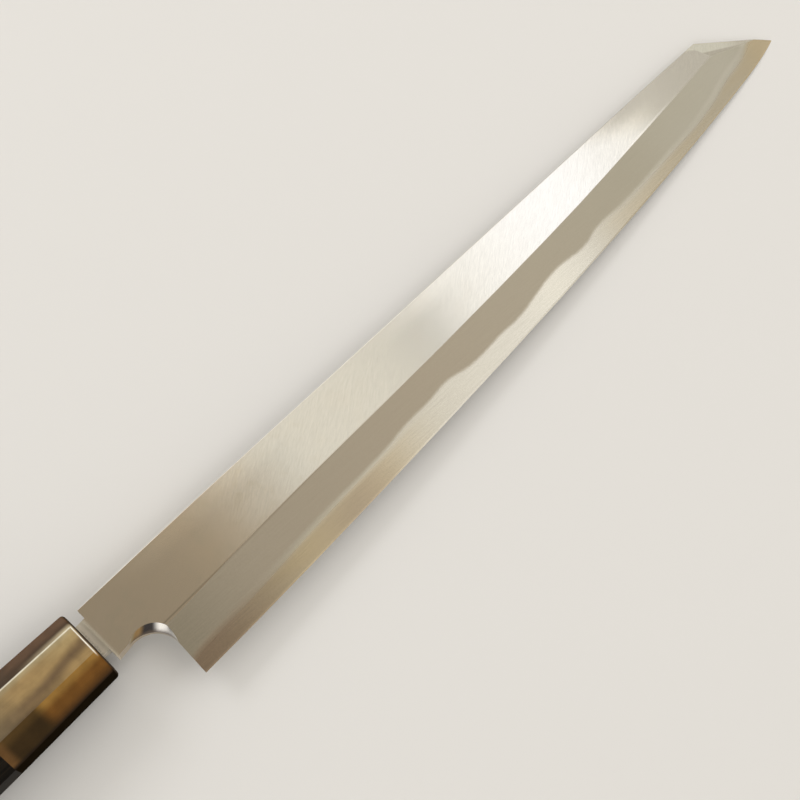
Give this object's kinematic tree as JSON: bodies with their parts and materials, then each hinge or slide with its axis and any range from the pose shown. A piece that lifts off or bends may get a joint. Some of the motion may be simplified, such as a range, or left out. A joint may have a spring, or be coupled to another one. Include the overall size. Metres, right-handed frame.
{
  "type": "yanagiba knife",
  "caption": "Long right-handed single-bevel slicing knife with a clipped tip, laminated blade, horn ferrule and octagonal wooden handle, lying flat.",
  "frame": {"origin": "on the handle's axis, at the front face of the ferrule", "axes": "+X along the knife to the tip, +Y to the spine, +Z out of the bevelled face: the knife lies on its flat back"},
  "size_m": [0.452, 0.0389, 0.0214],
  "materials": {
    "soft_iron": "satin, with fine slanting grinding lines on the flat face and a mistier bevel",
    "hard_steel": "finely polished, brighter than the iron above it",
    "polished_horn": "polished horn, marbled from blond to dark brown",
    "ebony": "near-black close-grained wood, sanded and oiled",
    "pale_wood": "bare pale softwood, inside the handle",
    "bedding_resin": "set resin, inside the handle"
  },
  "bodies": {
    "root": {"iron_blade_body": "soft_iron", "hard_steel_layer": "hard_steel", "horn_ferrule": "polished_horn", "ebony_handle": "ebony", "tang_dowel": "pale_wood", "tang_bedding": "bedding_resin"}
  },
  "joints": []
}
